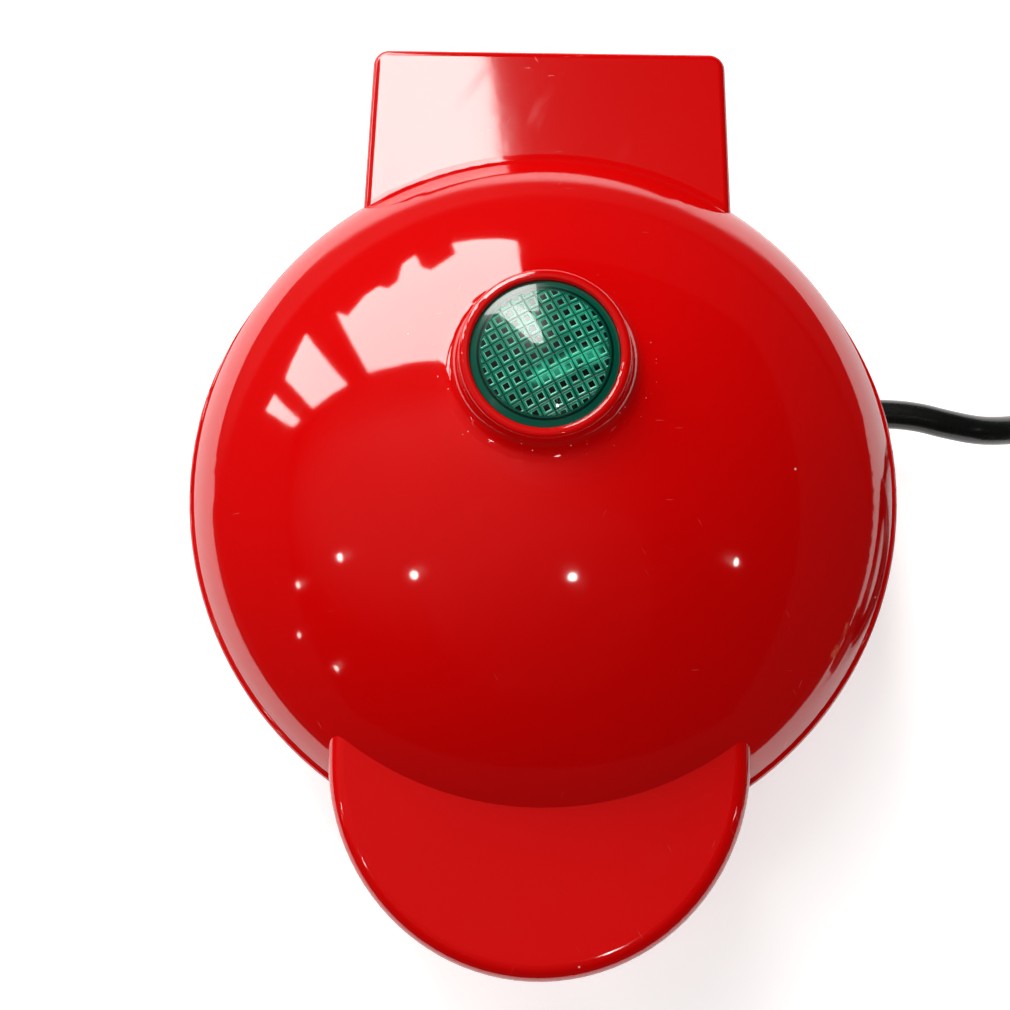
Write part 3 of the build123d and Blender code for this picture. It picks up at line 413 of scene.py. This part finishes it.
def steel(name, colour, roughness, tint=None, tint_share=0.0):
    """Bare steel with fine tool marks, tinted where heat has dulled it."""
    finish = Finish(name, Metallic=1.0)
    marks = finish.noise((0.0002, 0.003, 0.003), 2.0, 0.6)
    worn = finish.noise(0.006, 3.0).step(0.35, 0.7)
    dark = tuple(0.78 * channel for channel in colour)
    base = finish.blend(worn, dark, colour)
    if tint:
        base = finish.blend(tint_share * finish.noise(0.014, 2.0).step(0.3, 0.7), base, tint)
    finish.set("Base Color", base)
    finish.set("Roughness", roughness + 0.12 * worn + 0.1 * marks)
    finish.bump(marks, 0.000006)
    return finish


def moulded_plastic(name, colour, roughness, grain_height=0.000015, grain_size=0.0005):
    """Plain moulding with a fine spark texture."""
    finish = Finish(name, IOR=1.46)
    grain = finish.noise(grain_size, 3.0, 0.6)
    light = tuple(min(1.0, 1.25 * channel + 0.002) for channel in colour)
    finish.set("Base Color", finish.blend(finish.noise(0.012, 3.0), colour, light))
    finish.set("Roughness", roughness + 0.14 * finish.noise(0.009, 3.0) + 0.06 * grain)
    finish.bump(grain, grain_height)
    return finish


def foot_rubber():
    """Soft rubber, dull and a little dusty near the table."""
    finish = Finish("foot_rubber", IOR=1.5)
    dusty = finish.z.step(0.003, 0.0) * finish.noise(0.002, 3.0)
    finish.set("Base Color", finish.blend(dusty, (0.018, 0.018, 0.018), (0.075, 0.072, 0.068)))
    finish.set("Roughness", 0.72 + 0.2 * finish.noise(0.004, 3.0))
    finish.bump(finish.noise(0.0006, 3.0), 0.00003)
    return finish


def glass_sleeving():
    """Varnished glass-fibre sleeving with its fine braid."""
    finish = Finish("glass_sleeving", IOR=1.5)
    strands = 5200.0
    one_way = ((finish.x + finish.y + finish.z) * strands).sine()
    other_way = ((finish.x - finish.y - finish.z) * strands).sine()
    lit = one_way * other_way * 0.5 + 0.5
    finish.set("Base Color", finish.blend(lit, (0.55, 0.50, 0.40), (0.86, 0.83, 0.74)))
    finish.set("Roughness", 0.45 + 0.2 * finish.noise(0.003, 2.0))
    finish.bump(lit, 0.00008)
    return finish


def lamp_glass():
    """Small clear lamp, its glass tinted warm as a painted glow of its coated electrodes; it gives no light.
    """
    finish = Finish("lamp_glass", Transmission_Weight=0.85, IOR=1.5)
    finish.set("Base Color", finish.blend(finish.noise(0.002, 1.0), (0.95, 0.80, 0.70), (1.0, 0.92, 0.86)))
    finish.set("Roughness", 0.03 + 0.05 * finish.noise(0.004, 2.0))
    return finish


def plug_metal(pin_box):
    """Plated blades, with black sleeves at the roots of the two slanted ones."""
    finish = Finish("plug_metal")
    low, high = pin_box
    root_depth = 0.004
    sleeve_length = 0.0085
    earth_share = 0.3
    sleeve_top = low.z + root_depth + sleeve_length
    earth_edge = low.y + earth_share * (high.y - low.y)
    sleeved = finish.z.step(sleeve_top + 0.0001, sleeve_top) * finish.y.step(earth_edge, earth_edge + 0.0005)
    worn = finish.noise((0.003, 0.003, 0.0004), 3.0)
    brass = finish.blend(worn, (0.62, 0.50, 0.26), (0.80, 0.68, 0.40))
    finish.set("Base Color", finish.blend(sleeved, brass, (0.015, 0.015, 0.016)))
    finish.set("Metallic", 1.0 - sleeved)
    finish.set("Roughness", 0.24 + 0.14 * worn + 0.2 * sleeved)
    finish.bump(worn, 0.000008)
    return finish


def lead_plastic(name, roughness):
    """Smooth flexible jacket of the lead and its fittings."""
    finish = Finish(name, Coat_Weight=0.3, Coat_Roughness=0.1, IOR=1.5)
    mottle = finish.noise(0.01, 3.0)
    finish.set("Base Color", finish.blend(mottle, (0.0035, 0.004, 0.0035), (0.0065, 0.008, 0.007)))
    finish.set("Roughness", roughness + 0.1 * finish.noise(0.004, 3.0))
    finish.bump(finish.noise(0.0014, 3.0), 0.00002)
    return finish


class WAFFLE_OT_studio(bpy.types.Operator):
    """Camera, pale floor, window, lamps and dim room"""

    bl_idname = "waffle.studio"
    bl_label = "Studio"

    def execute(self, context):
        settings = context.scene.waffle_maker.studio
        self.camera(context, settings)
        self.floor(context)
        self.window(context, settings)
        self.ceiling(context, settings)
        self.fill(context, settings)
        self.room(context, settings)
        context.scene.view_settings.view_transform = "Standard"
        return {"FINISHED"}

    def camera(self, context, settings):
        """A close camera over the front of the body, tilted and turned a little."""
        tilt = settings.camera_tilt
        right = Vector((1, 0, 0))
        up = Vector((0, math.cos(tilt), math.sin(tilt)))
        back = right.cross(up)
        roll = settings.camera_roll
        aim = Vector((0, 1.2, 34.0)) * MM - up * 2.0 * MM
        data = bpy.data.cameras.new("camera")
        data.lens = settings.focal_length
        data.shift_x = settings.camera_shift
        data.clip_start = 0.01
        data.clip_end = 50.0
        camera = bpy.data.objects.new("camera", data)
        turned_right = right * math.cos(roll) + up * math.sin(roll)
        turned_up = up * math.cos(roll) - right * math.sin(roll)
        axes = Matrix((turned_right, turned_up, back)).transposed()
        camera.matrix_world = Matrix.Translation(aim + back * settings.camera_distance) @ axes.to_4x4()
        context.scene.collection.objects.link(camera)
        context.scene.camera = camera

    def floor(self, context):
        """Pale matt table top, white to the camera and dark in reflections beyond the table's edge."""
        reach = 4.0
        table_radius = 0.32
        table_fade = 0.05
        floor = self.sheet(context, "floor", [[(x * reach, y * reach, 0) for x, y in SQUARE]])
        finish = Finish("floor_white", Roughness=0.9, Specular_IOR_Level=0.1)
        seen, gloss, through = light_path(
            finish.tree, "Is Camera Ray", "Is Glossy Ray", "Is Transmission Ray")
        reached = (finish.x * finish.x + finish.y * finish.y).root()
        table = reached.step(table_radius + table_fade, table_radius)
        finish.set("Base Color", finish.blend(gloss * (1.0 - table), (0.93, 0.93, 0.925), (0.03, 0.03, 0.03)))
        shown = (seen + through + gloss * table).at_most(1.0)
        finish.set("Emission Color", finish.blend(shown, BLACK, WHITE))
        finish.set("Emission Strength", 0.45)
        finish.give(floor)

    def window(self, context, settings):
        """Tall window in three panes behind the left of the object, with the skylight over it."""
        wall_y = 1.6
        panes = (
            ((-0.963, 0.291), (-0.935, 0.379), (-0.784, 0.32), (-0.691, 0.313), (-0.662, 0.369),
             (-0.602, 0.346), (-0.539, 0.247), (-0.478, 0.226), (-0.479, 0.323), (-0.449, 0.372),
             (-0.397, 0.353), (-0.33, 0.31), (-0.327, 0.236), (-0.264, 0.249), (-0.165, 0.273),
             (-0.102, 0.303), (-0.10, 1.28), (-0.707, 1.15), (-0.825, 1.115), (-1.218, 1.0)),
            ((-1.214, 0.23), (-1.474, 1.002), (-2.05, 0.979), (-1.727, 0.377)),
            ((-2.0, 0.38), (-2.40, 0.99), (-2.62, 0.99), (-2.33, 0.40)),
        )
        loops = [[Vector((x, 1.0, z)) * wall_y for x, z in pane] for pane in panes]
        corners = (
            (-0.029, 0.50), (-0.19, 0.50), (-0.914, 1.288), (-0.60, 1.48), (-0.22, 1.10), (-0.070, 0.75))
        skylight_height = 1.5
        skylight = [[(x, y, skylight_height) for x, y in corners]]
        for name, shapes, share in (("window_light", loops, 1.0), ("skylight", skylight, 1.45)):
            finish = Finish(name + "_glow", Base_Color=BLACK, Emission_Color=(1.0, 0.985, 0.96))
            finish.set("Emission Strength", share * settings.window_strength)
            finish.give(self.sheet(context, name, shapes))

    def ceiling(self, context, settings):
        """Ceiling that fades away to the right, with small bright spots in it."""
        height = 2.4
        reach = 6.0
        spot_drop = 0.1
        spot_radius = 0.035
        spot_corners = 12
        finish = Finish("ceiling_glow", Base_Color=BLACK)
        across = (finish.x + 2.5) / 4.2
        along = (finish.y - 0.35) / 2.6
        glow = (across * across + along * along).root().step(1.0, 0.15)
        finish.set("Emission Color", finish.blend(glow, BLACK, (1.0, 0.98, 0.95)))
        finish.set("Emission Strength", settings.ceiling_strength)
        finish.give(self.sheet(context, "ceiling", [[(x * reach, y * reach, height) for x, y in SQUARE]]))
        places = (
            (-0.657, -0.344), (0.137, -0.32), (1.218, -0.275), (-1.329, -0.284), (-2.348, -0.626),
            (-3.0, -1.391), (-2.089, -1.509),
        )
        turns = [2 * math.pi * step / spot_corners for step in range(spot_corners)]
        loops = []
        for x, y in places:
            middle = Vector((x, y, 1.0)) * (height - spot_drop)
            radius = spot_radius * (1.0 + 0.35 * math.hypot(x, y))
            loops.append([middle + Vector((math.cos(turn), math.sin(turn), 0)) * radius for turn in turns])
        finish = Finish("spot_glow", Base_Color=BLACK, Emission_Color=(1.0, 0.97, 0.92))
        finish.set("Emission Strength", settings.spot_strength)
        finish.give(self.sheet(context, "ceiling_spots", loops))

    def sheet(self, context, name, loops):
        """Stage object of flat faces, one for each loop of corners."""
        corners = [corner for loop in loops for corner in loop]
        faces = []
        for loop in loops:
            start = sum(len(face) for face in faces)
            faces.append(tuple(range(start, start + len(loop))))
        mesh = bpy.data.meshes.new(name)
        mesh.from_pydata(corners, [], faces)
        item = bpy.data.objects.new(name, mesh)
        context.scene.collection.objects.link(item)
        return item

    def fill(self, context, settings):
        """Large soft lamp overhead that brightens without showing in the gloss."""
        data = bpy.data.lights.new("fill", "AREA")
        data.shape = "DISK"
        data.size = 2.4
        data.energy = settings.fill_power
        lamp = bpy.data.objects.new("fill", data)
        lamp.location = (0.0, -0.8, 2.1)
        lamp.rotation_euler = lamp.location.to_track_quat("Z", "Y").to_euler()
        lamp.visible_glossy = False
        context.scene.collection.objects.link(lamp)

    def room(self, context, settings):
        """Dim even room: white to camera and transmission rays, and left dark in reflections."""
        world = bpy.data.worlds.new("room")
        world.use_nodes = True
        tree = world.node_tree
        seen, through = light_path(tree, "Is Camera Ray", "Is Transmission Ray")
        shown = (seen + through).at_most(1.0)
        background = tree.nodes["Background"]
        feed(tree, background.inputs["Color"], (*WHITE, 1.0))
        feed(tree, background.inputs["Strength"],
             shown * (1.0 - settings.room_strength) + settings.room_strength)
        context.scene.world = world


class WAFFLE_OT_lead(bpy.types.Operator):
    """Mains lead from the strain relief to its coil, as one smooth curve"""

    bl_idname = "waffle.lead"
    bl_label = "Mains lead"

    def execute(self, context):
        settings = context.scene.waffle_maker.lead
        points = self.route() + self.coil(settings)
        curve = bpy.data.curves.new("mains_lead", "CURVE")
        curve.dimensions = "3D"
        curve.bevel_depth = 1.0
        curve.bevel_resolution = 6
        curve.resolution_u = 6
        curve.use_fill_caps = True
        spline = curve.splines.new("NURBS")
        spline.points.add(len(points) - 1)
        for spot, point in zip(spline.points, points):
            spot.co = (*point, 1.0)
            spot.radius = settings.radius
        spline.order_u = 3
        spline.use_endpoint_u = True
        spline.use_smooth = True
        lead = bpy.data.objects.new("mains_lead", curve)
        context.scene.collection.objects.link(lead)
        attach(lead, "base")
        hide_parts("mains_cord", "cord_coil")
        lead_plastic("lead_jacket", 0.22).give(lead, nodes["inner_cord"])
        2 * settings.radius
        return {"FINISHED"}

    def route(self):
        """Points from the strain relief down to the table and on to the coil."""
        floor = 2.9
        points = [
            (64.0, 21.3, 14.0),
            (70.3, 21.3, 14.0),
            (78.8, 19.3, 13.2),
            (86.8, 18.7, 10.4),
            (100.1, 21.8, floor),
            (114.7, 22.0, floor),
            (123.0, 20.5, floor),
        ]
        return [Vector(point) * MM for point in points]

    def coil(self, settings):
        """Turns that wind in on the table, climb one lead's thickness and wind out again."""
        centre = Vector((137.0, 20.6, 2.9)) * MM - Vector((0, settings.coil_radius, 0))
        middle = settings.coil_turns / 2
        climb = settings.coil_turns / 9
        count = round(settings.coil_turns * settings.points_per_turn)
        seam = 5.6 * MM
        points = [centre + Vector((-seam, settings.coil_radius, 0))]
        for index in range(count + 1):
            turns = settings.coil_turns * index / count
            away = turns - middle
            radius = settings.coil_radius - settings.coil_pitch * (middle - abs(away))
            share = min(max(away / climb + 0.5, 0.0), 1.0)
            rise = settings.coil_pitch * (1 - math.cos(math.pi * share)) / 2
            angle = math.pi / 2 - 2 * math.pi * turns
            points.append(centre + Vector((radius * math.cos(angle), radius * math.sin(angle), rise)))
        points.append(points[-1] + Vector((0, -seam, 0)))
        return points


class WAFFLE_OT_housings(bpy.types.Operator):
    """Red finish of the lid and the base"""

    bl_idname = "waffle.housings"
    bl_label = "Red housings"

    def execute(self, context):
        settings = context.scene.waffle_maker.housing
        low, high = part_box("indicator_lens")
        collar_wall = 2.0 * MM
        red_plastic(settings, (low + high) / 2, (high.x - low.x) / 2 + collar_wall).give(
            nodes["upper_housing"], nodes["lower_housing"])
        return {"FINISHED"}


class WAFFLE_OT_lens(bpy.types.Operator):
    """Green lens with its prisms, and the lamp under it"""

    bl_idname = "waffle.lens"
    bl_label = "Indicator lens"

    def execute(self, context):
        settings = context.scene.waffle_maker.lens
        low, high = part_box("indicator_lens")
        centre = (low + high) / 2
        lens_plastic(settings, centre, (high.x - low.x) / 2).give(nodes["indicator_lens"])
        lamp_glass().give(nodes["indicator_lamp"])
        moulded_plastic("lamp_holder_black", (0.014, 0.014, 0.015), 0.45).give(nodes["lamp_holder"])
        return {"FINISHED"}


class WAFFLE_OT_cooking_plates(bpy.types.Operator):
    """Coated plates with their elements, reflectors and screws"""

    bl_idname = "waffle.cooking_plates"
    bl_label = "Cooking plates"

    def execute(self, context):
        coated_aluminium().give(nodes["lower_plate"], nodes["upper_plate"])
        steel("plate_screw_steel", (0.58, 0.58, 0.59), 0.28).give(
            nodes["lower_plate_screws"], nodes["upper_plate_screws"],
            nodes["lower_reflector_screws"], nodes["upper_reflector_screws"])
        steel("element_sheath", (0.34, 0.32, 0.29), 0.4, (0.16, 0.13, 0.16), 0.6).give(
            nodes["lower_element"], nodes["upper_element"])
        steel("reflector_sheet", (0.80, 0.80, 0.81), 0.2, (0.60, 0.50, 0.34), 0.3).give(
            nodes["lower_reflector"], nodes["upper_reflector"], nodes["thermostat"])
        return {"FINISHED"}


class WAFFLE_OT_base_fittings(bpy.types.Operator):
    """Bottom cover, feet, screws, hinge pins and the clamp of the lead"""

    bl_idname = "waffle.base_fittings"
    bl_label = "Base fittings"

    def execute(self, context):
        moulded_plastic("cover_black", (0.012, 0.012, 0.013), 0.45).give(
            nodes["base_cover"], nodes["cord_clamp"])
        foot_rubber().give(nodes["rubber_feet"])
        steel("fitting_steel", (0.55, 0.55, 0.56), 0.3).give(
            nodes["cover_screws"], nodes["clamp_screws"], nodes["hinge_pins"])
        moulded_plastic("terminal_white", (0.78, 0.77, 0.73), 0.38).give(nodes["terminal_block"])
        steel("terminal_brass", (0.78, 0.60, 0.30), 0.25).give(nodes["terminal_screws"])
        return {"FINISHED"}


class WAFFLE_OT_lead_fittings(bpy.types.Operator):
    """Strain relief and plug of the lead"""

    bl_idname = "waffle.lead_fittings"
    bl_label = "Lead fittings"

    def execute(self, context):
        lead_plastic("relief_rubber", 0.42).give(nodes["cord_bush"])
        lead_plastic("plug_plastic", 0.3).give(nodes["plug_body"])
        plug_metal(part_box("plug_pins")).give(nodes["plug_pins"])
        return {"FINISHED"}


class WAFFLE_OT_wiring(bpy.types.Operator):
    """Sleeved wires, cores and the thermal fuse"""

    bl_idname = "waffle.wiring"
    bl_label = "Wiring"

    def execute(self, context):
        glass_sleeving().give(nodes["hinge_wire_sleeve"], nodes["lower_wiring"], nodes["upper_wiring"],
                              nodes["thermal_fuse"])
        moulded_plastic("core_brown", (0.16, 0.06, 0.025), 0.35).give(nodes["cord_cores"])
        return {"FINISHED"}


OPERATORS = (
    WAFFLE_OT_studio,
    WAFFLE_OT_lead,
    WAFFLE_OT_housings,
    WAFFLE_OT_lens,
    WAFFLE_OT_cooking_plates,
    WAFFLE_OT_base_fittings,
    WAFFLE_OT_lead_fittings,
    WAFFLE_OT_wiring,
)


class WAFFLE_PT_panel(bpy.types.Panel):
    """Sizes, finishes and the steps that make the waffle maker"""

    bl_idname = "WAFFLE_PT_panel"
    bl_label = "Bubble Waffle Maker"
    bl_space_type = "VIEW_3D"
    bl_region_type = "UI"
    bl_category = "Waffle Maker"

    def draw(self, context):
        settings = context.scene.waffle_maker
        for group in (settings.housing, settings.lens, settings.lead, settings.studio):
            box = self.layout.box()
            for name in group.__annotations__:
                box.prop(group, name)
        for operator in OPERATORS:
            self.layout.operator(operator.bl_idname)


CLASSES = (
    HousingSettings,
    LensSettings,
    LeadSettings,
    StudioSettings,
    WaffleMakerSettings,
    *OPERATORS,
    WAFFLE_PT_panel,
)


def register():
    for item in CLASSES:
        bpy.utils.register_class(item)
    bpy.types.Scene.waffle_maker = PointerProperty(type=WaffleMakerSettings)


def unregister():
    del bpy.types.Scene.waffle_maker
    for item in reversed(CLASSES):
        bpy.utils.unregister_class(item)


def main():
    """Makes everything in order."""
    register()
    for operator in OPERATORS:
        group, name = operator.bl_idname.split(".")
        getattr(getattr(bpy.ops, group), name)()


if __name__ == "__main__":
    main()
